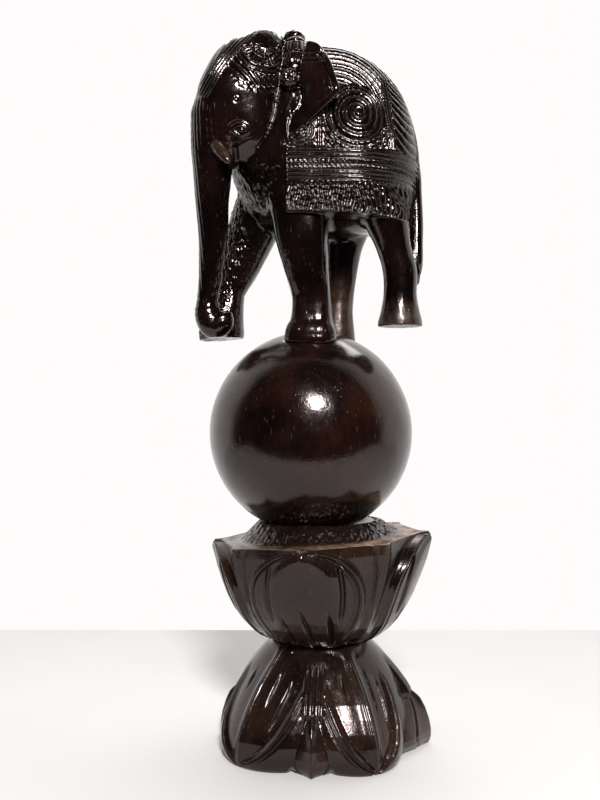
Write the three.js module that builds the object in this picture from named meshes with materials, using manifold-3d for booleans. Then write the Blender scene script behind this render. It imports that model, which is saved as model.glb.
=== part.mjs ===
// A carved wooden elephant that walks on a ball, on a pedestal of two lotus flowers.
// Millimetres, +Z up. The origin is the centre of the pedestal's flat underside.
// The elephant faces -X and its left side faces -Y. Each tier is its own block of wood, and hidden dowels
// hold the tiers together.
import * as THREE from "three";
import { mergeVertices } from "three/addons/utils/BufferGeometryUtils.js";
import Module from "manifold-3d";

const wasm = await Module();
wasm.setup();

// Driving dimensions
const GAP = 0.3; // glue line between neighbours
const WAIST_Z = 44; // where the two lotus flowers meet, back to back
const WAIST_RADIUS = 22;
const RIM_Z = 88; // top of the upper flower's petals
const BALL_RADIUS = 43.5;
const BALL_CENTRE = new THREE.Vector3(-4, 0, 131);
const PETALS = 4; // large petals to a flower, with a small pointed one between each two
const HEAD_CENTRE = new THREE.Vector3(-29.5, -11, 272);
const HEAD_TURN = THREE.MathUtils.degToRad(36); // towards the elephant's left
const TUSK_RADIUS = 2.6;
const EAR_DEPTH = 12;
const EAR_LEAN = 0.17;
const EAR_CENTRE = [-2, 21, 267]; // the left ear's, with Y out from the midline

// How far the flowers' creases cut in between the petals, as shares of the radius.
const LOWER_CREASE = 0.32;
const LOWER_TIP_SLOPE = 1.6;
const UPPER_CREASE = 0.25;
const UPPER_TIP_SET_BACK = 0.06;
const UPPER_TIP_SLOPE = 0.9;

// Limbs as stations of [x, y, z, radius]. Standing feet run on into the ball, which cuts them to fit.
const LEFT_FORELEG = [
  [-8, -13, 232, 12.8],
  [-6.5, -14.5, 211, 11],
  [-3.5, -13.4, 195.5, 8.8],
  [-2.3, -12.3, 188.5, 8.1],
  [-2.3, -12.3, 179, 9],
  [-2.6, -12.3, 171, 11],
];
const RIGHT_FORELEG = [
  [-23, 8.5, 238, 12.5],
  [-29.8, 8, 222.6, 10.8],
  [-35.2, 7.2, 206, 8.4],
  [-40, 6.3, 194.6, 6.6],
  [-40.8, 5.8, 189.2, 6.4],
  [-42.9, 5.2, 180.3, 8.4],
  [-44.1, 4.9, 174, 10.3],
];
const LEFT_HINDLEG = [
  [26, -11, 232, 13],
  [28.5, -11, 218, 10.2],
  [32, -10.6, 209, 8.6],
  [34.5, -9.7, 198, 7],
  [34.5, -9.5, 188.4, 6.8],
  [34.3, -9.5, 181, 8.2],
  [34.3, -9.5, 176, 9.3],
];
const RIGHT_HINDLEG = [
  [13, 15, 232, 12],
  [10.4, 15.2, 216.4, 9],
  [9.1, 15, 206.6, 7.6],
  [7.7, 14.9, 191.4, 6.3],
  [6.8, 14.8, 183, 6.8],
  [6.4, 14.8, 174, 8],
  [6.4, 14.8, 162, 8.6],
];
const TRUNK = [
  [-42, -18.5, 262, 10],
  [-43.3, -18.2, 250, 9],
  [-43.6, -17.3, 241, 8.2],
  [-44.1, -15.5, 229, 7],
  [-44.3, -12.5, 212.5, 6.2],
  [-45.7, -10, 198, 5.3],
  [-47.3, -8.5, 188, 4.8],
  [-47.4, -8, 181.5, 6],
  [-44.7, -8.5, 177, 6.2],
  [-41.1, -9, 178.2, 4.8],
  [-38.5, -9, 180.5, 2.5],
];
const TAIL = [
  [38, 1, 250, 2.5],
  [41.3, 0, 232, 2.1],
  [41.2, -0.8, 221, 2.1],
  [40.7, -1.6, 212, 2.7],
  [39.9, -2.4, 203, 3.2],
  [40.1, -2.7, 195, 2],
];
const TRUNK_STEPS = 30;
const TAIL_STEPS = 12;

const LATHE_STEPS = 48;
const BALL_STEPS = [36, 20];
const BLOB_STEPS = [18, 11];
const LIMB_SIDES = 12;
const DOWEL_SIDES = 16;

const wood = new THREE.MeshStandardMaterial({ color: 0x2a1713, roughness: 0.28, metalness: 0 });
const wornWood = new THREE.MeshStandardMaterial({ color: 0x5a4128, roughness: 0.5, metalness: 0 });
const dowelWood = new THREE.MeshStandardMaterial({ color: 0xb08d5e, roughness: 0.7, metalness: 0 });

// Solids

function solidOf(geometry) {
  const bare = geometry.clone();
  bare.deleteAttribute("normal");
  bare.deleteAttribute("uv");
  const merged = mergeVertices(bare, 1e-4);
  const mesh = new wasm.Mesh({
    numProp: 3,
    vertProperties: merged.attributes.position.array,
    triVerts: new Uint32Array(merged.index.array),
  });
  return new wasm.Manifold(mesh);
}

function geometryOf(solid) {
  const { vertProperties, triVerts } = solid.getMesh();
  const geometry = new THREE.BufferGeometry();
  geometry.setAttribute("position", new THREE.BufferAttribute(vertProperties, 3));
  geometry.setIndex(new THREE.BufferAttribute(triVerts, 1));
  geometry.computeVertexNormals();
  return geometry;
}

const joined = (solids) => solids.reduce((a, b) => a.add(b));

// An ellipsoid with its half sizes along X, Y and Z.
function blob(at, halves, turn = 0) {
  const geometry = new THREE.SphereGeometry(1, ...BLOB_STEPS).rotateX(Math.PI / 2);
  geometry.scale(...halves).rotateZ(turn).translate(...at);
  return solidOf(geometry);
}

function ball(radius) {
  const geometry = new THREE.SphereGeometry(radius, ...BALL_STEPS).rotateX(Math.PI / 2);
  return solidOf(geometry.translate(...BALL_CENTRE));
}

// A round limb through stations of [x, y, z, radius], with flat ends.
function limb(stations, steps = 3 * (stations.length - 1)) {
  const path = new THREE.CatmullRomCurve3(stations.map(([x, y, z]) => new THREE.Vector3(x, y, z)));
  const radii = new THREE.CatmullRomCurve3(stations.map(([, , , r]) => new THREE.Vector3(r, 0, 0)));
  const geometry = new THREE.CylinderGeometry(1, 1, 1, LIMB_SIDES, steps);
  const { position } = geometry.attributes;
  const sideways = new THREE.Vector3(0, 1, 0);
  for (let i = 0; i < position.count; i++) {
    const along = THREE.MathUtils.clamp(0.5 - position.getY(i), 0, 1);
    const radius = radii.getPoint(along).x;
    const tangent = path.getTangent(along);
    const across = new THREE.Vector3().crossVectors(sideways, tangent).normalize();
    const third = new THREE.Vector3().crossVectors(tangent, across);
    const point = path.getPoint(along);
    point.addScaledVector(across, radius * position.getX(i));
    point.addScaledVector(third, radius * position.getZ(i));
    position.setXYZ(i, point.x, point.y, point.z);
  }
  return solidOf(geometry);
}

// An upright dowel from z low to z high, or the hole that takes it when it is grown by the gap.
function dowel({ x, y, radius, low, high }, grow = 0) {
  const wide = radius + grow;
  const geometry = new THREE.CylinderGeometry(wide, wide, high - low + 2 * grow, DOWEL_SIDES);
  return geometry.rotateX(Math.PI / 2).translate(x, y, (low + high) / 2);
}

const waistDowel = { x: 0, y: 0, radius: 6, low: 30, high: 58 };
const ballDowel = { x: BALL_CENTRE.x, y: 0, radius: 5, low: 72, high: 104 };
const frontFootDowel = { x: -2.3, y: -12.3, radius: 2.5, low: 160, high: 188 };
const hindFootDowel = { x: 6.6, y: 14.8, radius: 2.5, low: 155, high: 183 };

const holes = (...dowels) => joined(dowels.map((d) => solidOf(dowel(d, GAP))));

// Lotus flowers

// How far towards a large petal's middle a direction points: 1 on its axis, 0 halfway between two of them.
function largePetal(angle, offset) {
  return Math.abs(Math.cos(((angle - offset) * PETALS) / 2));
}

// A turned profile whose petals are pushed in and out: lobe(angle, z) scales each point's radius.
function flower(profile, lobe) {
  const points = profile.map(([radius, z]) => new THREE.Vector2(radius, z));
  const geometry = new THREE.LatheGeometry(points, LATHE_STEPS).rotateX(Math.PI / 2);
  const { position } = geometry.attributes;
  for (let i = 0; i < position.count; i++) {
    const [x, y, z] = [position.getX(i), position.getY(i), position.getZ(i)];
    const scale = lobe(Math.atan2(y, x), z);
    position.setXY(i, x * scale, y * scale);
  }
  return solidOf(geometry);
}

// Petals hang down: large ones on the diagonals, and narrow keeled tips between them.
function lowerLotus() {
  const top = WAIST_Z - GAP;
  const side = [[47.5, 0], [48.5, 3], [47.5, 10], [44.5, 18], [40, 25], [34, 32], [27.5, 38.5]];
  const profile = [[0, 0], ...side, [WAIST_RADIUS, top], [0, top]];
  const lobe = (angle, z) => {
    const down = 1 - z / WAIST_Z;
    const large = 1 - LOWER_CREASE * down * (1 - largePetal(angle, Math.PI / 4)) ** 1.5;
    const tip = 1 - LOWER_TIP_SLOPE * down * (1 - largePetal(angle, 0));
    return Math.max(large, tip);
  };
  return flower(profile, lobe).subtract(holes(waistDowel));
}

// Petals open upwards round a raised seat that the ball is bedded in: large ones on the axes, and narrow ones
// set a little further in between them.
function upperLotus() {
  const side = [[WAIST_RADIUS, WAIST_Z], [28, 48], [35, 55.5], [39, 63], [42.5, 71], [45.4, 80], [46.5, RIM_Z]];
  const seat = [[34, RIM_Z], [26, 92], [23, 94]];
  const profile = [[0, WAIST_Z], ...side, ...seat, [0, 94]];
  const lobe = (angle, z) => {
    const up = (z - WAIST_Z) / (RIM_Z - WAIST_Z);
    const large = 1 - UPPER_CREASE * up * (1 - largePetal(angle, 0));
    const fade = UPPER_TIP_SLOPE * up * (1 - largePetal(angle, Math.PI / 4));
    const tip = 1 - UPPER_TIP_SET_BACK * up - fade;
    return up > 1 ? 1 : Math.max(large, tip);
  };
  return flower(profile, lobe).subtract(ball(BALL_RADIUS + GAP)).subtract(holes(waistDowel, ballDowel));
}

// Elephant

// A point given as forward, left and height, in the frame of the turned head.
function headPoint(forward, left, z) {
  const x = HEAD_CENTRE.x - forward * Math.cos(HEAD_TURN) + left * Math.sin(HEAD_TURN);
  const y = HEAD_CENTRE.y - forward * Math.sin(HEAD_TURN) - left * Math.cos(HEAD_TURN);
  return [x, y, z];
}

const headBlob = ([forward, left, z], halves) => blob(headPoint(forward, left, z), halves, HEAD_TURN);

function body() {
  return joined([
    blob([-0.5, 0, 255.5], [40.3, 26.5, 41.2]), // barrel under the cloth
    blob([19, 0, 243], [21.6, 26.5, 25.5]), // rump
    blob([3, 0, 244], [35, 28, 25]), // skirt of the cloth
    blob([-12, 0, 247], [22, 25, 29.5]), // shoulders
    blob([-12, -3, 274], [18.5, 19.5, 22.5]), // neck
    blob([-9, -12, 236], [13, 13, 15]), // left shoulder
    blob([-22, 9, 240], [12, 12, 15]), // right shoulder
    blob([26, -10, 234], [13.5, 15, 16]), // left thigh
    blob([16, 13, 232], [14, 13, 15]), // right thigh
  ]);
}

function head() {
  return joined([
    headBlob([-1, 0, 272.5], [21, 18.5, 26]), // skull
    headBlob([-5, 7.5, 285.5], [12.5, 10.5, 15.3]), // left crown
    headBlob([-5, -7.5, 285.5], [12.5, 10.5, 15.3]), // right crown
    headBlob([9, 0, 264], [14.5, 14.5, 20]), // face
    headBlob([0, 8.5, 257.5], [13.5, 9, 12.5]), // left cheek
    headBlob([0, -8.5, 257.5], [13.5, 9, 12.5]), // right cheek
    headBlob([3, 0, 250.5], [9.5, 8.5, 8]), // lower jaw
    blob([-9.6, -14, 295.5], [5, 5, 4.5]), // knot of the head cloth
  ]);
}

// A flat ear, cut to its outline round its own centre and leaned in against the neck.
function ear(side) {
  const outline = new THREE.Shape();
  outline.moveTo(-3, 20);
  outline.quadraticCurveTo(6, 21, 8, 12);
  outline.lineTo(10, -2);
  outline.quadraticCurveTo(0, -10, -8, -19);
  outline.quadraticCurveTo(-12, -12, -11, 1);
  outline.lineTo(-3, 20);
  const flat = { depth: EAR_DEPTH, bevelEnabled: false, curveSegments: 5 };
  const geometry = new THREE.ExtrudeGeometry(outline, flat);
  geometry.translate(0, 0, -EAR_DEPTH / 2).rotateX(Math.PI / 2 - side * EAR_LEAN);
  const [x, out, z] = EAR_CENTRE;
  return solidOf(geometry.translate(x, -side * out, z));
}

// Each tusk is a stub that is glued into a socket beside the trunk. It points out, down and a little back.
function tusk(side, grow = 0) {
  const root = new THREE.Vector3(...headPoint(16.5, 4.5 * side, 248.5));
  const tip = new THREE.Vector3(...headPoint(14, 13.5 * side, 241.5));
  const along = tip.clone().sub(root);
  const length = along.length() + 2 * grow;
  const radius = TUSK_RADIUS + grow;
  const geometry = new THREE.CylinderGeometry(radius, radius, length, DOWEL_SIDES);
  const turn = new THREE.Quaternion().setFromUnitVectors(new THREE.Vector3(0, 1, 0), along.normalize());
  const middle = root.add(tip).divideScalar(2);
  return geometry.applyQuaternion(turn).translate(...middle);
}

function elephant() {
  const legs = [LEFT_FORELEG, RIGHT_FORELEG, LEFT_HINDLEG, RIGHT_HINDLEG].map((leg) => limb(leg));
  const ends = [limb(TRUNK, TRUNK_STEPS), limb(TAIL, TAIL_STEPS)];
  const carving = joined([body(), head(), ear(1), ear(-1), ...legs, ...ends]);
  const sockets = solidOf(tusk(1, GAP)).add(solidOf(tusk(-1, GAP)));
  const seated = carving.subtract(ball(BALL_RADIUS + GAP));
  return seated.subtract(holes(frontFootDowel, hindFootDowel)).subtract(sockets);
}

// Assembly

const statue = new THREE.Group();

function place(name, geometry, material) {
  const mesh = new THREE.Mesh(geometry, material);
  mesh.name = name;
  statue.add(mesh);
}

const turnedBall = ball(BALL_RADIUS).subtract(holes(ballDowel, frontFootDowel, hindFootDowel));
place("lower_lotus", geometryOf(lowerLotus()), wood);
place("upper_lotus", geometryOf(upperLotus()), wood);
place("ball", geometryOf(turnedBall), wood);
place("elephant", geometryOf(elephant()), wood);
place("left_tusk", tusk(1), wornWood);
place("right_tusk", tusk(-1), wornWood);
place("waist_dowel", dowel(waistDowel), dowelWood);
place("ball_dowel", dowel(ballDowel), dowelWood);
place("front_foot_dowel", dowel(frontFootDowel), dowelWood);
place("hind_foot_dowel", dowel(hindFootDowel), dowelWood);

export default statue;
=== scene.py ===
"""A carved and lacquered wooden elephant on a ball and a double lotus pedestal, in a plain studio.

Shapes are in millimetres until they are made. The elephant faces -X and its left side faces -Y.
It and its tusks are distance fields, meshed and then carved by a relief along their normals.
The flowers and the ball are rings of points.
"""
import math

import bpy
import numpy as np
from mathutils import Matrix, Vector


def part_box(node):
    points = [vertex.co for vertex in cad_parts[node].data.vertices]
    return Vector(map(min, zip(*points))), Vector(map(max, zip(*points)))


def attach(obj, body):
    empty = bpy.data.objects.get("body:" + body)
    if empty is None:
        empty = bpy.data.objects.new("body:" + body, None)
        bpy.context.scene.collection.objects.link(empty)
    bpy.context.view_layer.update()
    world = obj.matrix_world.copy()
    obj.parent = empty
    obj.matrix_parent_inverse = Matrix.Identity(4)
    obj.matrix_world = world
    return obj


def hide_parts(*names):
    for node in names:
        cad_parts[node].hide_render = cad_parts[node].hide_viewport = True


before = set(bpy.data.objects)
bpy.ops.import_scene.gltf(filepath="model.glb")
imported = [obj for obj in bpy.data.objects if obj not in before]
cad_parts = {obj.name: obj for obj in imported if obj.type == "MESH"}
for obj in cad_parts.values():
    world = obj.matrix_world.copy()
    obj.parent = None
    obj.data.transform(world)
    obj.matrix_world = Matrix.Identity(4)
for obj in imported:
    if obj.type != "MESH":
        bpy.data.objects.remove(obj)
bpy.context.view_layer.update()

MM = 0.001
FAR = 9.0  # mm: a limb isn't measured farther away than this
SAMPLES_AT_ONCE = 300000  # points given to a field in one call
# mm between the elephant's mesh points, before its carved parts are refined
FINE_CELL = 0.72


def in_mm(node):
    low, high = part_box(node)
    return np.array(low) / MM, np.array(high) / MM


# ---- small vector tools


def norm(v):
    return np.sqrt((v * v).sum(-1))


def ramp(edge0, edge1, t):
    """0 before edge0, 1 past edge1, and smooth between them."""
    u = np.clip((t - edge0) / (edge1 - edge0), 0, 1)
    return u * u * (3 - 2 * u)


def blend_min(a, b, width):
    """The union of two fields, with a fillet about as wide as width."""
    h = np.clip(0.5 + 0.5 * (b - a) / width, 0, 1)
    return b + (a - b) * h - width * h * (1 - h)


def blend_max(a, b, width):
    return -blend_min(-a, -b, width)


def groove(t, width):
    """A rounded cut centred on t = 0: 1 at its bottom and 0 past its edges."""
    return np.clip(1 - (t / width) ** 2, 0, None)


def hash_noise(p, seed=0):
    """Smooth noise between -1 and 1 that changes about once per unit of p."""
    cell = np.floor(p).astype(np.int64)
    local = p - cell
    local = local * local * (3 - 2 * local)
    total = np.zeros(len(p))
    for corner in np.ndindex(2, 2, 2):
        bits = corner[::-1]
        c = cell + bits
        code = c[:, 0] * 73856093 ^ c[:, 1] * 19349663 ^ c[:, 2] * 83492791 ^ (seed + 1) * 2654435761
        value = ((code * 1103515245 + 12345) >> 8 & 0xFFFF) / 32767.5 - 1
        total += value * np.where(bits, local, 1 - local).prod(1)
    return total


# ---- distance fields


def ellipsoid(p, centre, halves):
    q = (p - np.array(centre)) / halves
    k0 = norm(q)
    k1 = norm(q / halves)
    return k0 * (k0 - 1) / np.maximum(k1, 1e-6)


def path_through(stations, steps):
    """Catmull-Rom points through stations of (x, y, z, radius)."""
    s = np.array(stations, float)
    s = np.vstack([2 * s[0] - s[1], s, 2 * s[-1] - s[-2]])
    out = []
    for i in range(1, len(s) - 2):
        a, b, c, d = s[i - 1 : i + 3]
        for t in np.arange(steps) / steps:
            squared = (2 * a - 5 * b + 4 * c - d) * t**2
            cubed = (3 * b - a - 3 * c + d) * t**3
            out.append(0.5 * (2 * b + (c - a) * t + squared + cubed))
    return np.array(out + [s[-2]])


def limb(p, stations, steps=4, square=2.0):
    """A limb through its stations. Its section is round where square is 2, and squarer above that."""
    path = path_through(stations, steps)
    reach = path[:, 3].max() + FAR
    near = ((p > path[:, :3].min(0) - reach) & (p < path[:, :3].max(0) + reach)).all(1)
    q = p[near]
    best = np.full(len(q), np.inf)
    for a, b in zip(path, path[1:]):
        run = b - a
        h = np.clip((q - a[:3]) @ run[:3] / (run[:3] @ run[:3]), 0, 1)
        off = np.abs(q - a[:3] - h[:, None] * run[:3])
        level = (off[:, 0] ** square + off[:, 1] ** square) ** (1 / square)
        best = np.minimum(best, np.hypot(level, off[:, 2]) - a[3] - h * run[3])
    out = np.full(len(p), FAR)
    out[near] = best
    return out


# ---- meshing


def sample(shape, low, counts, cell, coarse=4):
    """The field on a lattice. Only the blocks that the surface passes through are measured finely."""
    blocks = -(-(counts - 1) // coarse)
    axes = [low[i] + cell * coarse * np.arange(blocks[i] + 1) for i in range(3)]
    corners = np.stack(np.meshgrid(*axes, indexing="ij"), -1)
    rough = shape(corners.reshape(-1, 3)).reshape(corners.shape[:3])
    block_reach = 1.2 * coarse * cell  # a little more than a block's width
    close = np.zeros(blocks, bool)
    for dx, dy, dz in np.ndindex(2, 2, 2):
        part = rough[dx : dx + blocks[0], dy : dy + blocks[1], dz : dz + blocks[2]]
        close |= np.abs(part) < block_reach
    size = blocks * coarse + 1
    fine = np.full(size, 1.0)
    mask = np.zeros(size, bool)
    sign = np.sign(rough[tuple(slice(0, n) for n in blocks)])
    for shift in np.ndindex(*[coarse + 1] * 3):
        at = np.ix_(*[d + coarse * np.arange(n) for d, n in zip(shift, blocks)])
        fine[at] = np.where(mask[at], fine[at], sign)
        mask[at] |= close
    where = np.argwhere(mask)
    chunks = np.array_split(where, max(1, len(where) // SAMPLES_AT_ONCE))
    fine[tuple(where.T)] = np.concatenate([shape(low + cell * chunk) for chunk in chunks])
    return fine


def crossings(field, cells, corners):
    """The mean of the points where the surface crosses each cell's edges, in cells."""
    total = np.zeros((len(cells), 3))
    hits = np.zeros(len(cells))
    for a in corners:
        for axis in range(3):
            if a[axis]:
                continue
            b = tuple(v + (i == axis) for i, v in enumerate(a))
            fa = field[tuple((cells + a).T)]
            fb = field[tuple((cells + b).T)]
            crossing = (fa < 0) != (fb < 0)
            t = np.where(crossing, fa / np.where(crossing, fa - fb, 1), 0)
            point = np.array(a) + t[:, None] * (np.array(b) - np.array(a))
            total += np.where(crossing[:, None], point, 0)
            hits += crossing
    return total / hits[:, None]


def quads_between(inside, index):
    """A quad across each lattice edge that the surface crosses, through the four cells round it."""
    quads = []
    for axis in range(3):
        u, v = [np.eye(3, dtype=int)[(axis + k) % 3] for k in (1, 2)]
        lo = [slice(1, -1)] * 3
        lo[axis] = slice(0, -1)
        hi = [slice(1, -1)] * 3
        hi[axis] = slice(1, None)
        a, b = inside[tuple(lo)], inside[tuple(hi)]
        start = np.array([s.start for s in lo])
        for flip in (False, True):
            at = np.argwhere((b & ~a) if flip else (a & ~b)) + start
            ring = [at - u - v, at - v, at, at - u]
            ring = [index[tuple(r.T)] for r in ring]
            quads.append(np.stack(ring[::-1] if flip else ring, -1))
    return np.vstack(quads)


def surface_net(shape, low, high, cell):
    """(points, quads) on the zero level of the field inside the box."""
    counts = np.ceil((high - low) / cell).astype(int) + 1
    field = sample(shape, low, counts, cell)
    inside = field < 0
    n = np.array(field.shape) - 1
    corners = list(np.ndindex(2, 2, 2))
    stack = [inside[dx : dx + n[0], dy : dy + n[1], dz : dz + n[2]] for dx, dy, dz in corners]
    active = np.logical_or.reduce(stack) & ~np.logical_and.reduce(stack)
    cells = np.argwhere(active)
    index = np.full(n, -1)
    index[active] = np.arange(len(cells))
    return low + cell * (cells + crossings(field, cells, corners)), quads_between(inside, index)


def normals_of(shape, p, step=0.15):
    """Unit gradients of the field."""
    g = np.stack([shape(p + step * e) - shape(p - step * e) for e in np.eye(3)], -1)
    return g / np.maximum(norm(g), 1e-9)[:, None]


def settle(shape, p, rounds=2):
    """Moves points onto the zero level."""
    for _ in range(rounds):
        p = p - shape(p)[:, None] * normals_of(shape, p)
    return p


def relax(p, quads, rounds):
    """Evens the mesh out by moving each point to the mean of its neighbours."""
    for _ in range(rounds):
        total = np.zeros_like(p)
        count = np.zeros(len(p))
        for k in range(4):
            a, b = quads[:, k], quads[:, (k + 1) % 4]
            for i, j in ((a, b), (b, a)):
                total += np.stack([np.bincount(i, p[j, c], len(p)) for c in range(3)], -1)
                count += np.bincount(i, minlength=len(p))
        p = 0.5 * p + 0.5 * total / np.maximum(count, 1)[:, None]
    return p


def split(quads, chosen, p):
    """Splits the chosen quads in four. Their neighbours take the new points into their outlines."""
    n = len(quads)
    ends = np.stack([quads, np.roll(quads, -1, 1)], -1).reshape(-1, 2)
    key, edge = np.unique(np.sort(ends, 1), axis=0, return_inverse=True)
    edge = edge.reshape(n, 4)
    cut = np.zeros(len(key), bool)
    cut[edge[chosen].ravel()] = True
    number = np.full(len(key), -1)
    number[cut] = len(p) + np.arange(cut.sum())
    middle = p[key[cut]].mean(1)
    centre = len(p) + len(middle) + np.arange(chosen.sum())
    p = np.vstack([p, middle, p[quads[chosen]].mean(1)])
    corner, side = quads[chosen], number[edge[chosen]]
    small = [np.stack([corner[:, k], side[:, k], centre, side[:, k - 1]], -1) for k in range(4)]
    faces = np.vstack(small).tolist()
    rest = ~chosen
    touched = rest & (number[edge] >= 0).any(1)
    faces += quads[rest & ~touched].tolist()
    for q, e in zip(quads[touched].tolist(), number[edge[touched]].tolist()):
        faces.append([v for pair in zip(q, e) for v in pair if v >= 0])
    return p, faces


def add_object(name, data):
    obj = bpy.data.objects.new(name, data)
    bpy.context.scene.collection.objects.link(obj)
    return obj


def mesh_object(name, points, faces, node):
    """A smooth-shaded mesh that stands for a CAD node."""
    mesh = bpy.data.meshes.new(name)
    mesh.from_pydata((points * MM).tolist(), [], faces)
    mesh.polygons.foreach_set("use_smooth", np.ones(len(mesh.polygons), bool))
    mesh.update()
    obj = add_object(name, mesh)
    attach(obj, "root")
    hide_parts(node)
    return obj


# ---- the ball

ball_low, ball_high = in_mm("ball")
BALL_RADIUS = (ball_high[0] - ball_low[0]) / 2
BALL_CENTRE = (ball_low + ball_high) / 2
BALL_INSET = 0.15  # mm inside the CAD ball, which leaves room for the surface's waviness


# ---- the elephant's forms

HEAD_CENTRE = np.array([-29.5, -11.0])
HEAD_TURN = math.radians(36)  # towards its left

# Each limb's stations from the body outwards: x, y, z and radius.
LEFT_FORELEG = [(-9, -12, 233, 12.6), (-7, -13.6, 222, 12), (-6, -14.6, 211, 10.8),
                (-3.6, -13.6, 196, 8.8), (-2.5, -12.5, 188.5, 8.1), (-2.3, -12.3, 181, 8.5),
                (-2.4, -12.3, 175.5, 9.4), (-2.7, -12.3, 171, 11.2)]
RIGHT_FORELEG = [(-22, 8.5, 238, 13), (-29.5, 7.8, 222.6, 11.6), (-35.2, 7, 206, 9),
                 (-39.8, 6.2, 194.6, 7), (-40.8, 5.6, 189.2, 6.8),
                 (-42.8, 5, 180.3, 8.6), (-44, 4.8, 174, 10.2)]
LEFT_HINDLEG = [(25.5, -11, 234, 13), (28.4, -11, 221, 9.4), (31.5, -10.6, 209.5, 7.3),
                (34.3, -9.8, 198, 7.2), (34.3, -9.5, 188.4, 7.1),
                (34.3, -9.5, 181, 8.2), (34.3, -9.5, 176, 9.4)]
RIGHT_HINDLEG = [(13, 15, 232, 12.5), (9.9, 15.2, 216.4, 8.8), (8.9, 15, 206.6, 7.5),
                 (7.7, 14.9, 191.4, 6.3), (6.8, 14.8, 183, 6.8), (6.4, 14.8, 174, 8), (6.4, 14.8, 164, 8.6)]
TRUNK = [(-41.4, -18.2, 262, 11.2), (-43.2, -18.2, 250, 9.2), (-43.5, -17.3, 241, 8.3),
         (-44.1, -15.5, 229, 7.2), (-44.3, -12.5, 212.5, 6.2), (-45.7, -10, 198, 5.3),
         (-47.3, -8.5, 188, 4.8), (-47.2, -7.8, 181.5, 6), (-44.7, -8, 177, 6), (-41.1, -8.8, 178.2, 5),
         (-39, -9.2, 180.5, 2.8)]
TAIL = [(36, 1, 256, 2.5), (40.2, 0.8, 244, 2.6), (40.8, 0, 232, 2.8), (41.2, -0.8, 221, 2.9),
        (41.0, -1.8, 212, 3.1), (40.6, -2.8, 203, 3.4), (40.6, -3.0, 195, 1.9)]
CLOTH_THICKNESS = 1.1
CLOTH_FRONT = -11.5  # x of its front edge
WIDEST_Z = 246
BAND_TOP = 245.8  # the cloth's border of lines and beads starts here
FRINGE_TOP = 233.2
MEDALLION = (17.8, 261.6)  # along and up the side of the cloth
MEDALLION_RADIUS = 12.6
MEDALLION_RIM = 12.7
STEM = 31.2  # the upright lines behind the arcs start here
EAR_CORNERS = np.array([(-3.5, 291.5), (1.2, 290), (6.5, 282), (11, 267.5), (-11.5, 248.5)])  # x and z
BOSS_X, BOSS_Z = -9.6, 275.3


def head_frame(p):
    """Forward, left and z in the turned head's own frame."""
    dx, dy = p[:, 0] - HEAD_CENTRE[0], p[:, 1] - HEAD_CENTRE[1]
    c, s = math.cos(HEAD_TURN), math.sin(HEAD_TURN)
    return np.stack([-dx * c - dy * s, dx * s - dy * c, p[:, 2]], -1)


def torso_field(p):
    d = ellipsoid(p, (-0.5, 0, 255.3), (39.4, 25.5, 40.2))
    d = blend_min(d, ellipsoid(p, (19, 0, 243), (20.6, 25.2, 24.6)), 9)
    d = blend_min(d, ellipsoid(p, (3, 0, 243.5), (32.8, 26, 24.6)), 9)
    d = blend_min(d, ellipsoid(p, (-12, 0, 247), (21.5, 24, 28.6)), 9)
    return blend_min(d, ellipsoid(p, (-12, -3, 274), (18, 19, 22)), 6)


def hem_height(x):
    return 221.5 - 0.055 * (x + 12)


def cloth_region(p):
    """Negative inside the space that the cloth covers."""
    return np.maximum(hem_height(p[:, 0]) - p[:, 2], CLOTH_FRONT - p[:, 0])


def cloth_field(p):
    """The cloth fits the torso and hangs almost straight down from its widest part."""
    x, z = p[:, 0], p[:, 2]
    raised = np.stack([x, p[:, 1], np.maximum(z, WIDEST_Z)], -1)
    slope = 0.05 + 0.09 * ramp(22, 40, x)
    flare = 0.1 * (1 - ramp(18, 30, x)) * np.clip(FRINGE_TOP - z, 0, None)
    hanging = torso_field(raised) - CLOTH_THICKNESS + slope * np.clip(WIDEST_Z - z, 0, None) - flare
    return blend_max(hanging, cloth_region(p), 0.6)


def body_field(p):
    """The torso and legs under the cloth, which hides the tops of the legs."""
    bare = blend_min(torso_field(p), leg_field(p), 3.0)
    cloth = cloth_field(p)
    return np.minimum(cloth, np.maximum(bare, np.minimum(-cloth_region(p), cloth)))


def leg_field(p):
    d = np.minimum(limb(p, LEFT_FORELEG, 8, square=3.0), limb(p, RIGHT_FORELEG, 8))
    for stations in (LEFT_HINDLEG, RIGHT_HINDLEG):
        d = np.minimum(d, limb(p, stations, 8))
    return d


def sole_cut(p):
    """Positive below the lifted feet's soles, near them."""
    x, _, z = p.T
    fore = np.where(x < -25, 171.6 + 0.06 * (x + 44) - z, -FAR)
    hind = np.where((x > 20) & (z < 186), 175.6 - z, -FAR)
    return np.maximum(fore, hind)


def head_field(p):
    q = head_frame(p)
    q[:, 1] = np.abs(q[:, 1])
    d = ellipsoid(q, (-1, 0, 272.5), (21, 18.5, 25.8))
    d = blend_min(d, ellipsoid(q, (-5, 7.3, 285.2), (12.3, 9.3, 15)), 2.5)
    d = blend_min(d, ellipsoid(q, (8.4, 0, 267.5), (14.0, 13.4, 17.5)), 5)
    d = blend_min(d, ellipsoid(q, (-1, 9, 258), (13, 8.5, 12)), 5)
    d = blend_min(d, ellipsoid(q, (3, 0, 251), (9, 9, 8.5)), 4)
    return d


def ear_outline(p):
    """Negative inside the ear's outline, seen from the side."""
    x, z = p[:, 0], p[:, 2]
    inside = np.full(len(p), -1e3)
    for (ax, az), (bx, bz) in zip(EAR_CORNERS, np.roll(EAR_CORNERS, -1, 0)):
        length = math.hypot(bx - ax, bz - az)
        inside = blend_max(inside, ((x - ax) * (az - bz) + (z - az) * (bx - ax)) / length, 1.5)
    return blend_max(inside, 9.5 - np.hypot(x + 14, z - 268), 1.5)


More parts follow.
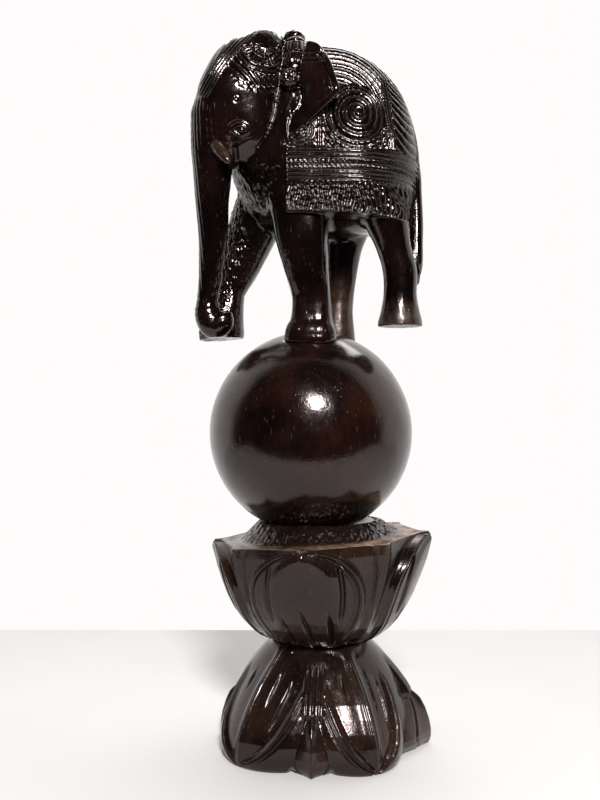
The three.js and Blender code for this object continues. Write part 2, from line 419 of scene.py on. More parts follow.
def ear_field(p):
    """A flap on each side: a curved sheet that leans in against the neck."""
    x, y, z = p[:, 0], np.abs(p[:, 1]), p[:, 2]
    sheet = 21.5 + 5.5 * np.sin(np.clip((292 - z) / 30, 0, 1) * 1.7) + 0.008 * (x + 12) ** 2
    return blend_max(np.abs(y - sheet) - 1.8, ear_outline(p), 1.2)


def ornament_field(p):
    """The hanging ornament in front of each ear: a knob, a tassel and a boss."""
    q = p.copy()
    q[:, 1] = -np.abs(q[:, 1] + 1.5) - 1.5
    knob = ellipsoid(q, (-9.6, -14, 295.8), (4.7, 4.7, 3.4))
    tassel = limb(q, [(-8.7, -17, 291, 4.7), (-8.6, -19.5, 287, 4.8), (-8.5, -22, 282.5, 4.4)])
    boss = ellipsoid(q, (BOSS_X, -25, BOSS_Z), (4.5, 4.3, 4.5))
    return np.minimum(np.minimum(knob, tassel), boss)


FILLETS = (1.2, 0.8, 3.0, 1.2, 0.6)  # where each form after the body grows out of those before it


def forms(p):
    return [body_field(p), head_field(p), ear_field(p), limb(p, TRUNK), limb(p, TAIL), ornament_field(p)]


def elephant_field(p):
    d, *others = forms(p)
    for other, fillet in zip(others, FILLETS):
        d = blend_min(d, other, fillet)
    d = np.maximum(d, sole_cut(p))
    return np.maximum(d, BALL_RADIUS + 0.1 - norm(p - BALL_CENTRE))


# ---- the elephant's carving


def ribs(t, pitch, sharp=0.6):
    """Round ribs with narrow cuts between them: 1 in each cut and 0 on each rib's top."""
    return 1 - np.abs(np.sin(math.pi * t / pitch)) ** sharp


def chips(p, size, seed):
    """Rough gouges: 0 to 1."""
    big = 0.55 * hash_noise(p / size, seed)
    return np.clip(big + 0.45 * hash_noise(p / (0.5 * size), seed + 1) + 0.4, 0, 1)


def flank(p):
    """(along, up) on the body's side, stretched so that lengths stay true over the back and the rump."""
    hidden = 0.5 * np.clip(25.5 - np.abs(p[:, 1]), 0, None)
    return p[:, 0] + hidden * ramp(8, 34, p[:, 0]), p[:, 2] + hidden * ramp(262, 285, p[:, 2])


def fringe_cut(u, z):
    """The hem's hanging strands, wider and more curved towards the rump."""
    sway = 0.5 * np.sin(0.55 * z + 0.35 * u) + 1.9 * ramp(12, 34, u) * np.sin((z - 229) / 4.6)
    turns = 0.513 * (u + sway) - 0.0026 * np.clip(u - 8, 0, None) ** 2
    strand = ribs(turns, 1.0, 0.7)
    phase = 2.4 * np.floor(turns) ** 2
    twist = 0.2 * (1 + np.sin(2.0 * z + phase + 1.3 * np.sin(0.9 * z + 2 * phase)))
    return (1.4 * strand + twist * (1 - strand)) * ramp(FRINGE_TOP, FRINGE_TOP - 1.8, z)


def band_cut(u, z):
    """Two pairs of raised lines with a row of beads between them."""
    z = z - BAND_TOP + 0.025 * (u - 10)
    lines = groove(z + 0.2, 0.55) + groove(z + 2.0, 0.5) + groove(z + 3.8, 0.6)
    lines += groove(z + 8.6, 0.6) + groove(z + 10.4, 0.5) + groove(z + 12.2, 0.6)
    beads = ramp(-4.3, -4.9, z) * ramp(-8.3, -7.7, z)
    row = np.maximum(ribs(u + 0.9 * (z + 6.3), 1.9, 0.6), 0.8 * groove(z + 6.3, 0.45))
    return 0.85 * lines + 0.9 * beads * row


def medallion_cut(u, v):
    """A spiral in the middle of each side of the cloth, and the distance from its centre."""
    across, up = (u - MEDALLION[0]) / 0.95, v - MEDALLION[1]
    rho = np.hypot(across, up)
    spiral = ribs(rho - 3.3 * np.arctan2(up, across) / (2 * math.pi), 3.3, 0.62)
    return np.where(rho < 1.3, 0, spiral), rho


def back_cut(u, v):
    """Arcs over the back, lines and leaves behind them, and the sweep, which is 1 on the rim."""
    sweep = np.hypot((u - 8) / 21.2, (v - 258) / 26.5)
    cut = np.where(sweep < 1, ribs(sweep - 1, 0.165, 0.6), ribs(sweep - 1, 0.145, 0.55))
    stem = ribs(u - STEM, 1.75, 0.6)
    leaves = ribs(v + 1.1 * (u - 34) - 0.035 * (u - 34) ** 2, 4.4, 0.5)
    leaves = leaves * ramp(34.4, 35.4, u) * ramp(52, 44, u)
    cut = np.where((u > STEM) & (v < 284), np.where(u < 34.7, stem, leaves), cut)
    return np.where(u > 50, ribs(u - 50, 1.8, 0.7), cut), sweep


def low_cut(u, v, rho, rough, cut):
    """Adds the scallop, uprights and rough ground in front of and under the medallion."""
    around_it = ribs(rho - MEDALLION_RIM, 2.1, 0.6)
    uprights = np.where(u < 4.4, ribs(u - 0.9, 1.75, 0.6), around_it)
    shell_r = np.hypot(u + 7.5, v - 254)
    shell = np.where((v < 254.5) & (shell_r < 9.6), ribs(shell_r, 1.75, 0.6), 0.5 * rough)
    in_front = np.where((u > 0.9) & (u < 8), uprights, np.where(u < 0.9, shell, rough))
    outside = rho > MEDALLION_RADIUS
    cut = np.where((u < 9.5) & (v < 262) & outside, in_front, cut)
    under = outside & (v < 255) & (u >= 8) & (u < STEM)
    return np.where(under, 0.6 * rough + 0.5 * around_it, cut)


def cloth_cut(p):
    """Depth of the cloth's carving."""
    u, v = flank(p)
    x, _, z = p.T
    rough = 0.25 + 0.75 * chips(p, 1.6, 11)
    spiral, rho = medallion_cut(u, v)
    cut, sweep = back_cut(u, v)
    cut = low_cut(u, v, rho, rough, cut)
    cut = 1.05 * np.where(rho < MEDALLION_RADIUS, spiral, cut)
    arc_rim = 0.9 * groove((sweep - 1) * 24, 0.7) * (u < 31)
    rim = np.maximum(groove(rho - MEDALLION_RIM, 0.7), arc_rim)
    cut = np.maximum(cut, 1.1 * rim * (v > 247))
    cut = np.where(v > 306.5, 0.7 * groove(v - 307, 0.8), cut)
    cut = cut + 0.18 * rough
    cut = np.where((x < -2) & (v > 256), 0.3 * rough, cut)
    front_edge = np.maximum(groove(x + 9.6, 0.5), groove(x + 7.6, 0.5))
    cut = np.maximum(cut, 0.7 * front_edge * (z < 262))
    cut = np.where(z < BAND_TOP - 0.025 * (u - 10) + 0.3, band_cut(u, z) + 0.1 * rough, cut)
    return np.where(z < FRINGE_TOP, fringe_cut(u, z), cut)


def body_cut(p):
    """The cloth, the bare chest and lifted foreleg, left rough from the gouge, and the smoother legs."""
    x, y, z = p.T
    gouges = chips(p * (1, 1, 0.8), 1.3, 21) * ramp(-12.5, -15, x) * ramp(222, 228, z)
    gouges *= 0.8 - 0.55 * ramp(238, 250, z)
    leg_x = np.interp(z, [174, 189, 206, 222, 238], [-44, -40.8, -35.2, -29.5, -22])
    front_side = 0.25 + 0.75 * ramp(3, 0, x - leg_x)
    raised_leg = 0.8 * front_side * chips(p * (1, 1, 0.7), 1.2, 27)
    raised_leg = raised_leg * ramp(-20, -26, x) * ramp(228, 222, z)
    flats = 0.22 * chips(p * (1, 1, 0.2), 2.2, 41) + 0.06 * chips(p, 1.2, 43)
    flats *= 1 - 0.85 * ramp(207, 213, z)
    bare = np.maximum(gouges, np.maximum(raised_leg * (y < 9), flats))
    covered = (x > CLOTH_FRONT + 0.3) & (z > hem_height(x) + 0.3)
    return np.where(covered, cloth_cut(p), bare)


def forehead_cut(h, z, rough):
    """A fan, arcs and a hem round a point on the brow, and the distance from it."""
    dx, dz = h - 7.6, z - 290.0
    ray = np.hypot(dx, dz)
    turn = np.degrees(np.arctan2(dz, dx))
    fan = np.maximum(ribs(turn, 22.5, 0.5) * ramp(1.2, 2.4, ray), 0.8 * groove(ray - 5.0, 0.6))
    arcs = ribs(ray - 8.7, 1.95, 0.55)
    hem = ribs(h + 0.6 * (z - 272) + 0.02 * dx**2, 2.4, 0.5)
    cut = np.where(ray < 8.6, 1.4 * fan, np.where(ray < 12.6, 1.3 * arcs, 0))
    cut = np.where((ray > 12.9) & (ray < 17.8), 1.3 * hem, cut)
    cut = np.maximum(cut, 0.5 * rough * ramp(17.4, 18, ray) * ramp(21.5, 19, ray))
    below = (turn < 12) | (turn > 172)
    return np.where(below, cut, 0.15 * rough), ray


def head_cut(p):
    """The head's ornament, the same on both sides of the midline, and the eyes and mouth."""
    f, left, z = head_frame(p).T
    a = np.abs(left)
    h = 0.5 * a - 0.866 * f  # across the head, seen from 60 degrees off its front
    rough = 0.3 + 0.7 * chips(p, 1.3, 31)
    past_strands = h - 3.3 + 0.66 * (297 - z)
    barbs = 0.6 * ribs(h - 0.3 * z, 3.2, 0.5)
    strands = 0.9 * ribs(past_strands, 1.9, 0.6)
    cut = np.where(past_strands < -7.6, barbs, strands) * (past_strands < 0) * (f > -8) * ramp(258, 263, z)
    ornament, ray = forehead_cut(h, z, rough)
    decked = (past_strands > 0.2) & (a > 3) & (z > 262) & (ray < 21.5)
    cut = np.where(decked, ornament + 0.12 * rough, cut)
    rose = np.hypot(h + 3.6, z - 266.4)
    cut = np.where((rose < 2.1) & (a > 4), 0.3 * ribs(rose, 1.4, 0.7), cut)
    cut = cut + eye_cut(h, z, a) + mouth_cut(h, z, a)
    neck = ramp(8.5, 11, h) * ramp(272, 269, z) * (a > 6)
    return cut + neck * 0.5 * rough + 0.06 * chips(p, 3.2, 35)


EYE_SHRINK = 1.25


def eye_cut(h, z, a):
    """An almond eye with heavy lids and a few folds of skin."""
    dx, dz = h + 2.1, z - 254.2 + 0.12 * (h + 2.1)
    dx, dz = dx * EYE_SHRINK, dz * EYE_SHRINK
    lens = np.hypot(dx, dz * (1.9 + 0.12 * dx**2))
    lid = 0.75 * groove(lens - 2.9, 0.55) - 0.45 * np.clip(1 - (lens / 2.4) ** 2, 0, 1)
    lid -= 0.35 * groove(lens - 4.1, 0.9)
    folds = np.hypot(dx, (dz + 1.0) * 1.25)
    crease = 0.4 * (groove(folds - 5.4, 0.5) + groove(folds - 7.1, 0.45)) * ramp(-0.5, 1.5, dz)
    bags = 0.35 * groove(np.hypot(dx + 0.6, (dz - 1.5) * 1.1) - 5.9, 0.5) * ramp(-0.5, -2, dz)
    return np.where(a > 4, lid + crease + bags, 0)


def mouth_cut(h, z, a):
    """The line between the trunk's root and the jowl, and the lip."""
    line = h + 5.6 - 0.9 * np.sin((z - 238) / 5.0)
    mouth = 1.3 * groove(line, 0.8) * ramp(250.5, 248.5, z) * ramp(238, 240, z)
    lip = 0.6 * groove(z - 249.8 - 0.35 * (h + 3), 0.6) * ramp(-6.5, -5, h) * ramp(2.0, -1, h)
    return np.where(a > 4, mouth + lip, 0)


def ear_cut(p):
    """Straps across the top of the ear, two ribs along its edge, and soft folds."""
    x, z = p[:, 0], p[:, 2]
    straps = 0.55 * sum(groove(z - height + 0.1 * x, 0.5) for height in (285.6, 283.4, 281.3))
    straps *= ramp(5, 3.5, x)
    edge = ear_outline(p)
    rim = 0.8 * groove(edge + 2.9, 0.6) - 0.5 * groove(edge + 1.7, 0.9) - 0.4 * groove(edge + 4.0, 0.8)
    rim *= ramp(0, 3, x) * ramp(262, 268, z)
    folds = 0.22 * ribs(x * 0.8 - 0.6 * z + 0.01 * (z - 262) ** 2, 6.0, 1.5) * ramp(278, 270, z)
    return straps + rim + folds


def trunk_cut(p):
    f, left, z = head_frame(p).T
    flutes = 0.32 * ribs(left - 0.6 * f, 2.3, 0.8) * ramp(186, 194, z)
    rings = 0.3 * ribs(z + 0.25 * f, 2.6, 0.7) * ramp(192, 186, z) * ramp(176, 180, z)
    return flutes + rings + 0.1 * chips(p, 1.6, 47)


def tail_cut(p):
    return 0.7 * ribs(p[:, 0] - 0.6 * p[:, 1] + 0.06 * p[:, 2], 1.35, 0.6) * ramp(216, 210, p[:, 2])


def trim_cut(p):
    """The knob, the fluted tassel and the boss."""
    x, z = p[:, 0], p[:, 2]
    flutes = 0.6 * ribs(x + 8.7, 1.9, 0.6) * ramp(292.3, 291.3, z) * ramp(281.0, 282.2, z)
    rings = 0.8 * (groove(z - 292.6, 0.5) + groove(z - 280.8, 0.6) + groove(z - 287, 0.4))
    dx, dz = x - BOSS_X, z - BOSS_Z
    boss = np.hypot(dx, dz)
    petals = 0.35 * ribs(np.degrees(np.arctan2(dz, dx)), 36, 0.6) * ramp(1.4, 2.4, boss)
    knob = 0.3 * chips(p, 1.4, 51) * (z > 293)
    return flutes + rings + (petals + 0.45 * groove(boss - 1.6, 0.5)) * (z < 280.4) + knob


CUTS = (body_cut, head_cut, ear_cut, trunk_cut, tail_cut, trim_cut)


def owners(p):
    """Which form each point belongs to, and how far it is from the next form."""
    distances = np.stack(forms(p))
    first, second = np.sort(distances, 0)[:2]
    return distances.argmin(0), second - first


def carve(p):
    """Points moved in along the normals by their form's carving, with the depth at each."""
    owner, clear = owners(p)
    depth = np.zeros(len(p))
    for number, cut in enumerate(CUTS):
        mine = owner == number
        depth[mine] = cut(p[mine])
    x, z = p[:, 0], p[:, 2]
    # The crease where the head's forms meet the body is cut deeper, and the same depth paints shade into its
    # colour.
    crease = (1 - ramp(0.05, 1.0, clear)) * (x > -26) * (x < -4) * (z > 248)
    depth = depth * ramp(0.05, 1.0, clear) + crease * (0.9 + 0.35 * chips(p, 1.1, 71))
    return p - depth[:, None] * normals_of(elephant_field, p), depth


def in_ornament(p):
    """Where the carving is fine enough to need a denser mesh."""
    x, z = p[:, 0], p[:, 2]
    cloth = (x > CLOTH_FRONT - 1) & (z > hem_height(x) - 1.5) & (z < 320)
    head = (x < -4) & (z > 249)
    lifted = (x < -26) & (p[:, 1] > -3) & (z > 172)
    return cloth | head | lifted


def make_elephant():
    low, high = in_mm("elephant")
    points, quads = surface_net(elephant_field, low - 4, high + 4, FINE_CELL)
    points = settle(elephant_field, relax(points, quads, 2))
    points, faces = split(quads, in_ornament(points[quads].mean(1)), points)
    points, depth = carve(settle(elephant_field, points, 1))
    made = mesh_object("carved_elephant", points, faces, "elephant")
    x, y, z = points.T
    near_foot = 0.6 * ramp(188, 179, z) * (x > 20)
    far_foot = 0.45 * ramp(206, 186, z) * ((x > 0) & (x < 18) & (y > 7))
    return tinted(made, np.stack([depth, near_foot + far_foot], -1))


# ---- turned and carved tiers


def closed_rings(rings, poles):
    """Points and faces of a closed surface: rings of equal length, shut by a pole at each end."""
    n = len(rings[0])
    points = np.vstack([poles[0], *rings, poles[1]])
    i = np.arange(n)
    j = (i + 1) % n
    faces = [(0, int(b) + 1, int(a) + 1) for a, b in zip(i, j)]
    for k in range(len(rings) - 1):
        a = 1 + k * n
        faces += np.stack([a + i, a + j, a + n + j, a + n + i], -1).tolist()
    last = 1 + (len(rings) - 1) * n
    faces += [(last + int(a), last + int(b), len(points) - 1) for a, b in zip(i, j)]
    return points, faces


def around(columns):
    """Angles from the front, growing towards +X."""
    return np.linspace(-math.pi, math.pi, columns, endpoint=False)


def ring_at(phi, r, z):
    return np.stack([r * np.sin(phi), -r * np.cos(phi), np.broadcast_to(z, phi.shape)], -1)


def tint(phi, recess, wear):
    return np.stack([recess + 0 * phi, wear + 0 * phi], -1)


def tinted(obj, values):
    """Stores how deep each point is carved, and how worn it is, for the material, which dulls the carved
    parts and darkens their colour with the depth as painted shade.
    """
    for name, column in zip(("recess", "wear"), values.T):
        layer = obj.data.attributes.new(name, "FLOAT", "POINT")
        layer.data.foreach_set("value", np.ascontiguousarray(column, np.float32))
    return obj


def make_tier(name, node, rows, bottom, top):
    """A tier from rows of (ring, tint), shut by a point at the bottom and one at the top."""
    rings, tints = zip(*rows)
    points, faces = closed_rings(rings, [np.array([bottom]), np.array([top])])
    plain = np.zeros((1, 2))
    return tinted(mesh_object(name, points, faces, node), np.vstack([plain, *tints, plain]))


def apart(phi, centre_deg):
    """Signed angle in degrees from a petal's middle."""
    return (np.degrees(phi) - centre_deg + 180) % 360 - 180


# The petals aren't evenly spaced, because they are laid out by eye. Angles are in degrees.
UPPER_BIG = [(-4.5, 36), (87, 34), (177, 34), (-93, 34)]  # middle and half width
UPPER_SMALL = [41, 132, -138, -47]  # middle
LOWER_BIG = [(-38, 1.27), (32.5, 1.0), (141, 1.15), (-142, 1.1)]  # middle and share of the usual width
# Middle, half width and share of the usual radius.
LOWER_SMALL = [(0.5, 10.5, 1.0), (87, 17, 1.0), (180, 16, 0.98), (-89, 13, 0.91)]
# Veins on the lower petals: side, share of the half width, height of the foot, and width.
LOWER_SLASHES = ((-1, 0.45, 24, 1.3), (1, 0.32, 20, 0.8), (1, 0.66, 12, 0.9), (-1, 0.78, 27, 0.7))
# Slanting cuts on the upper petals: degrees at the top and foot, and t at the foot and top.
UPPER_SLASHES = ((-15, -11, 0.08, 0.42), (-3, 6, 0.0, 0.5), (14, 20, 0.06, 0.46), (4, 11, 0.0, 0.2))
LOTUS_COLUMNS = 760
LOTUS_ROWS = 150
INNER_RADII = (7.0, 14.0, 19.0)  # rings that fill the flat faces where the two flowers meet

WAIST_Z = in_mm("upper_lotus")[0][2]
LOWER_TOP = in_mm("lower_lotus")[1][2]
SEAT_Z = WAIST_Z + 49.6  # the top of the raised collar that the ball sits in
SEAT_RADIUS = math.sqrt(BALL_RADIUS**2 - (BALL_CENTRE[2] - SEAT_Z) ** 2)
HOLLOW_RADIUS = BALL_RADIUS + 0.2  # of the hollow under the ball, with room for glue


def rim_height(phi, r):
    """The upper flower's top isn't level: it drops towards -X."""
    return WAIST_Z + 42.8 + 0.06 * r * np.sin(phi)


def upper_outline(phi, t):
    """The upper flower's radius without its petals: round at the waist and eight-sided at the rim."""
    r = np.interp(t, [0, 0.05, 0.1, 0.2, 0.3, 0.45, 0.6, 0.75, 0.9, 1],
                  [21.5, 25.6, 28.3, 32.3, 35.2, 38.6, 41.4, 43.9, 45.7, 46.4]) + 0 * phi
    tips = [c for c, _ in UPPER_BIG] + UPPER_SMALL
    off = np.min([np.abs(apart(phi, c)) for c in tips], 0)
    facet = math.cos(math.radians(22.5)) / np.cos(np.radians(22.5 - np.minimum(off, 22.5)))
    front = 1 - 0.045 * np.exp(-(apart(phi, -3) / 40) ** 2)
    return r * (1 - (1 - facet) * t**1.6) * (1 - (1 - front) * t)


def upper_petals(phi, t, r):
    """How far inside the nearest big petal's edge, in mm, and the angle from that petal's middle."""
    edge = np.full(phi.shape, -99.0)
    delta = np.zeros(phi.shape)
    for centre, half in UPPER_BIG:
        d = apart(phi, centre)
        below_widest = 28 + (half - 28) * np.sin(np.clip(t / 0.42, 0, 1) * math.pi / 2)
        above = half * np.sqrt(np.clip(1 - (np.clip(t - 0.42, 0, 1) / 0.56) ** 2.1, 0, 1))
        e = np.radians(np.where(t < 0.42, below_widest, above) - np.abs(d)) * r
        delta = np.where(e > edge, d, delta)
        edge = np.maximum(edge, e)
    return edge, delta


def upper_rims(t, edge, along, delta):
    """Lines that follow the big petals' edges, and a crescent at each side."""
    cut = 0.95 * groove(edge - 2.1, 0.8) * ramp(0.03, 0.2, t)
    cut += 0.6 * groove(edge - 3.9, 0.5) * ramp(0.0, 8.0, along) * ramp(0.1, 0.3, t)
    inner = ramp(0.26, 0.42, t) * (1 - ramp(0.80, 0.92, t)) * ramp(8.5, 12, np.abs(delta))
    crescent = groove(np.abs(along) - 15.5 + 22 * (t - 0.6) ** 2, 0.35 + 1.1 * inner)
    return cut + 1.25 * crescent * inner * (edge > 2.5)


def upper_slashes(t, edge, r, delta):
    cut = 0
    for top_deg, foot_deg, low_t, high_t in UPPER_SLASHES:
        line = top_deg + (foot_deg - top_deg) * np.clip((high_t - t) / (high_t - low_t), 0, 1)
        taper = ramp(high_t, high_t - 0.2, t) * ramp(low_t - 0.03, low_t, t)
        across = (delta - line) * np.radians(r)
        cut += 1.7 * np.clip(1 - np.abs(across + 0.5) / (0.3 + 1.2 * taper), 0, None) * taper
    return cut * (edge > 2)


def small_petal_veins(phi, t, edge, r):
    cut = 0
    for centre in UPPER_SMALL:
        across = np.abs(apart(phi, centre)) * np.radians(r)
        cut += groove(across - 0.6 - 4.6 * np.clip(t - 0.3, 0, 1), 0.7) + 0.7 * groove(across, 0.6)
    return 0.9 * cut * ramp(0.3, 0.5, t) * ramp(1.0, 0.94, t) * (edge < -0.4)


def upper_side(phi, t):
    """Radius of the upper flower's outside, with t from 0 at the waist to 1 at the rim, and its recess."""
    r = upper_outline(phi, t)
    edge, delta = upper_petals(phi, t, r)
    inside = ramp(-0.4, 0.25, edge)
    ridge = np.max([np.exp(-(apart(phi, c) / 4.5) ** 2) for c in UPPER_SMALL], 0)
    set_back = 2.4 * ramp(0, 3.0, -edge) * (1 - 0.85 * ridge) * np.clip(t * 2.2, 0, 1)
    r = r + 1.1 * inside - (1 - inside) * set_back
    cut = upper_rims(t, edge, delta * np.radians(r), delta)
    cut = cut + upper_slashes(t, edge, r, delta) + small_petal_veins(phi, t, edge, r)
    bulge = 0.8 * ramp(5, 12, edge) * np.clip(t * 3, 0, 1)
    return r + bulge - 1.25 * cut, cut


def collar_texture(phi, r):
    """Punch marks round the ball's seat."""
    p = np.stack([r * np.sin(phi), r * np.cos(phi), 0 * r], -1)
    bumps = hash_noise(p / 1.3, 5) + 0.5 * hash_noise(p / 0.8, 6)
    zone = ramp(35, 32, r) * ramp(22.5, 24, r)
    return 0.45 * bumps * zone, zone


def upper_top(phi, edge_r, s):
    """A row of the upper flower's top, from its edge at s = 0 to the ball's seat at 1."""
    r = edge_r + (SEAT_RADIUS - edge_r) * s
    z = rim_height(phi, r) + 0.25 * ramp(0, 0.05, s)
    z = z - 1.1 * ramp(36, 40, r) * ramp(0, 0.3, s)
    z = z + (SEAT_Z - z) * ramp(35.5, 24, r)
    bumps, zone = collar_texture(phi, r)
    worn = ramp(33, 36, r) * (0.4 + 0.6 * ramp(-12, 28, r * np.sin(phi)))
    # painted shade: the punched zone counts as half a cut deep, so its colour is darkened as in the cuts
    return ring_at(phi, r, z + bumps), tint(phi, 0.5 * zone, worn)


def make_upper_lotus():
    phi = around(LOTUS_COLUMNS)
    plain = tint(phi, 0, 0)
    rows = [(ring_at(phi, r + 0 * phi, WAIST_Z), plain) for r in INNER_RADII]
    for t in np.linspace(0, 1, LOTUS_ROWS):
        r, recess = upper_side(phi, t + 0 * phi)
        z = WAIST_Z + t * (rim_height(phi, r) - WAIST_Z)
        rows.append((ring_at(phi, r, z), tint(phi, recess, 0)))
    edge = rows[-1][0]
    edge_r = np.hypot(edge[:, 0], edge[:, 1])
    edge[:, 2] -= 0.25  # takes the sharpness off the rim
    rows += [upper_top(phi, edge_r, s) for s in np.linspace(0.012, 1, LOTUS_ROWS // 2)]
    for r in SEAT_RADIUS * np.linspace(0.9, 0.1, 6):
        rows.append((ring_at(phi, r + 0 * phi, BALL_CENTRE[2] - math.sqrt(HOLLOW_RADIUS**2 - r**2)), plain))
    deepest = (0, 0, BALL_CENTRE[2] - HOLLOW_RADIUS)
    return make_tier("carved_upper_lotus", "upper_lotus", rows, (0, 0, WAIST_Z), deepest)


def big_lower_petal(d, share_of_width, r0, z):
    """Radius of a hanging petal before its carving, and the carving. Its middle is at d = 0."""
    outer = np.interp(z, [0, 3, 8, 14, 20, 27, 34, 44], [19.5, 21.5, 24, 25.5, 27, 29.5, 33.5, 42])
    inner = np.interp(z, [1, 3, 5.5, 9, 14, 20, 27, 34, 44], [0.5, 5, 9, 13, 17, 20.5, 24.5, 29, 36])
    mm = np.radians(r0) * share_of_width
    edge = (outer - np.abs(d)) * mm
    inside = (inner - np.abs(d)) * mm
    u = np.abs(d) / outer
    petal = r0 * (1 - 0.02 * u - 0.085 * u**2) + np.minimum(edge, 0) * 1.4
    keel = np.exp(-((d * mm / 2.4) ** 2))
    dish = 2.0 * ramp(-0.2, 4.0, inside) * (1 - 0.85 * keel) * ramp(44, 38, z)
    cut = 1.1 * groove(inside + 0.4, 0.7) + 0.85 * groove(inside + 2.3, 0.6) * ramp(2, 8, z)
    cut += 0.5 * groove(np.abs(d * mm) - 0.9, 0.5) * ramp(2, 6, z)
    for side, share, foot, width in LOWER_SLASHES:
        taper = ramp(foot, foot + 8, z) * ramp(44, 36, z)
        across = (d * side / inner - share) * inner * mm
        cut += 1.5 * np.clip(1 - np.abs(across) / (0.2 + width * taper), 0, None) * taper
    return petal - dish, cut * (edge > 0.3)


def small_lower_petal(d, half, r0, z):
    """Radius and recess of the leaf and ribbed stem that show between two big petals."""
    mm = d * np.radians(r0)
    width = half * np.interp(z, [0, 4, 6, 14, 25, 26], [0.55, 0.95, 1, 0.62, 0.05, 0.0])
    u = np.abs(d) / np.maximum(width, 0.4)
    folded = np.clip(u, 0, 1)
    leaf = r0 * (0.90 + 0.085 * ramp(26, 18, z) - 0.085 * folded) - 3.5 * np.clip(u - 1, 0, 9)
    leaf = leaf - 0.7 * np.sin(math.pi * folded) - 0.7 * groove(u - 0.93, 0.12) * ramp(25, 20, z)
    stem = r0 * 0.935 - 0.7 * ribs(mm, 2.7, 0.7) - 0.22 * np.clip(np.abs(mm) - 3.0, 0, None) ** 2
    stem = stem - np.clip(22 - z, 0, None) * 0.8
    return np.maximum(leaf, stem), 0.3 * ribs(mm, 2.7, 0.7) * (stem > leaf)


def lower_side(phi, z):
    """Radius of the lower flower's outside at a height, and its recess."""
    r0 = np.interp(z, [0, 1, 3, 6, 10, 15, 20, 25, 30, 35, 39, 42, 44],
                   [46.8, 47.6, 48.2, 48.2, 47.5, 45.8, 43.2, 40, 36, 31.2, 27, 23.6, 21.5]) + 0 * phi
    radius = r0 * (0.84 + 0.1 * ramp(18, 42, z))
    recess = np.zeros(phi.shape)
    for centre, share in LOWER_BIG:
        petal, cut = big_lower_petal(apart(phi, centre) / share, share, r0, z)
        recess = np.where(petal > radius, cut, recess)
        radius = blend_max(radius, petal - cut, 0.35)
    for centre, half, reach in LOWER_SMALL:
        petal, cut = small_lower_petal(apart(phi, centre), half, r0, z)
        recess = np.where(petal * reach > radius, cut, recess)
        radius = blend_max(radius, petal * reach, 0.35)
    return radius, recess


def make_lower_lotus():
    phi = around(LOTUS_COLUMNS)
    plain = tint(phi, 0, 0)
    foot_r, _ = lower_side(phi, 0 * phi)
    rows = [(ring_at(phi, foot_r * s, 0.0), plain) for s in (0.3, 0.6, 0.85, 0.97)]
    for z in np.linspace(0, LOWER_TOP, LOTUS_ROWS):
        r, recess = lower_side(phi, z + 0 * phi)
        rows.append((ring_at(phi, r, z), tint(phi, recess, 0)))
    rows += [(ring_at(phi, r + 0 * phi, LOWER_TOP), plain) for r in INNER_RADII[::-1]]
    return make_tier("carved_lower_lotus", "lower_lotus", rows, (0, 0, 0.0), (0, 0, LOWER_TOP))


def make_ball():
    """A slightly uneven ball, with short upright cuts in a band near its foot."""
    columns, rows = ((440, 230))
    phi = around(columns)
    made = []
    for lat in np.linspace(-math.pi / 2, math.pi / 2, rows + 2)[1:-1]:
        out = ring_at(phi, math.cos(lat), math.sin(lat))
        wobble = 0.22 * hash_noise(out * 2.2, 1) + 0.05 * hash_noise(out * 9, 2)
        marks = groove((np.degrees(phi) % 4.2) - 2.1, 1.0) * (hash_noise(out * 14, 3) > -0.3)
        ragged = out[:, 2] + 0.05 * hash_noise(out * 9, 4)
        cut = 0.45 * marks * ramp(-0.86, -0.84, out[:, 2]) * ramp(-0.74, -0.80, ragged)
        r = BALL_RADIUS - BALL_INSET + wobble * 0.8 - cut
        made.append((BALL_CENTRE + out * r[:, None], tint(phi, cut, 0)))
    up = np.array([0, 0, BALL_RADIUS - BALL_INSET])
    return make_tier("turned_ball", "ball", made, BALL_CENTRE - up, BALL_CENTRE + up)


# The left tusk's stations in the head's own frame: forward, left, z and radius.
TUSK = [(17.3, 5.0, 248.6, 2.9), (16.6, 8.5, 245.8, 2.7), (15.6, 11.4, 242.4, 1.9), (15.2, 12.8, 240.8, 0.9)]


def make_tusk(side):
    """A short blunt tusk, set in the cheek beside the trunk's root. side is 1 for the left one."""
    c, s = math.cos(HEAD_TURN), math.sin(HEAD_TURN)
    placed = []
    for forward, left, z, r in TUSK:
        x = HEAD_CENTRE[0] - forward * c + side * left * s
        placed.append((x, HEAD_CENTRE[1] - forward * s - side * left * c, z, r))

    def field(p):
        return limb(p, placed)

    middle = np.array(placed)[:, :3]
    points, quads = surface_net(field, middle.min(0) - 6, middle.max(0) + 6, 0.5)
    points = settle(field, relax(points, quads, 1))
    points = points - 0.15 * chips(points, 1.4, 61)[:, None] * normals_of(field, points)
    node = "left_tusk" if side > 0 else "right_tusk"
    made = mesh_object("carved_" + node, points, quads.tolist(), node)
    return tinted(made, np.zeros((len(points), 2)))


elephant = make_elephant()
tusks = [make_tusk(side) for side in (1, -1)]
flowers = [make_lower_lotus(), make_upper_lotus()]
ball = make_ball()


# ---- materials


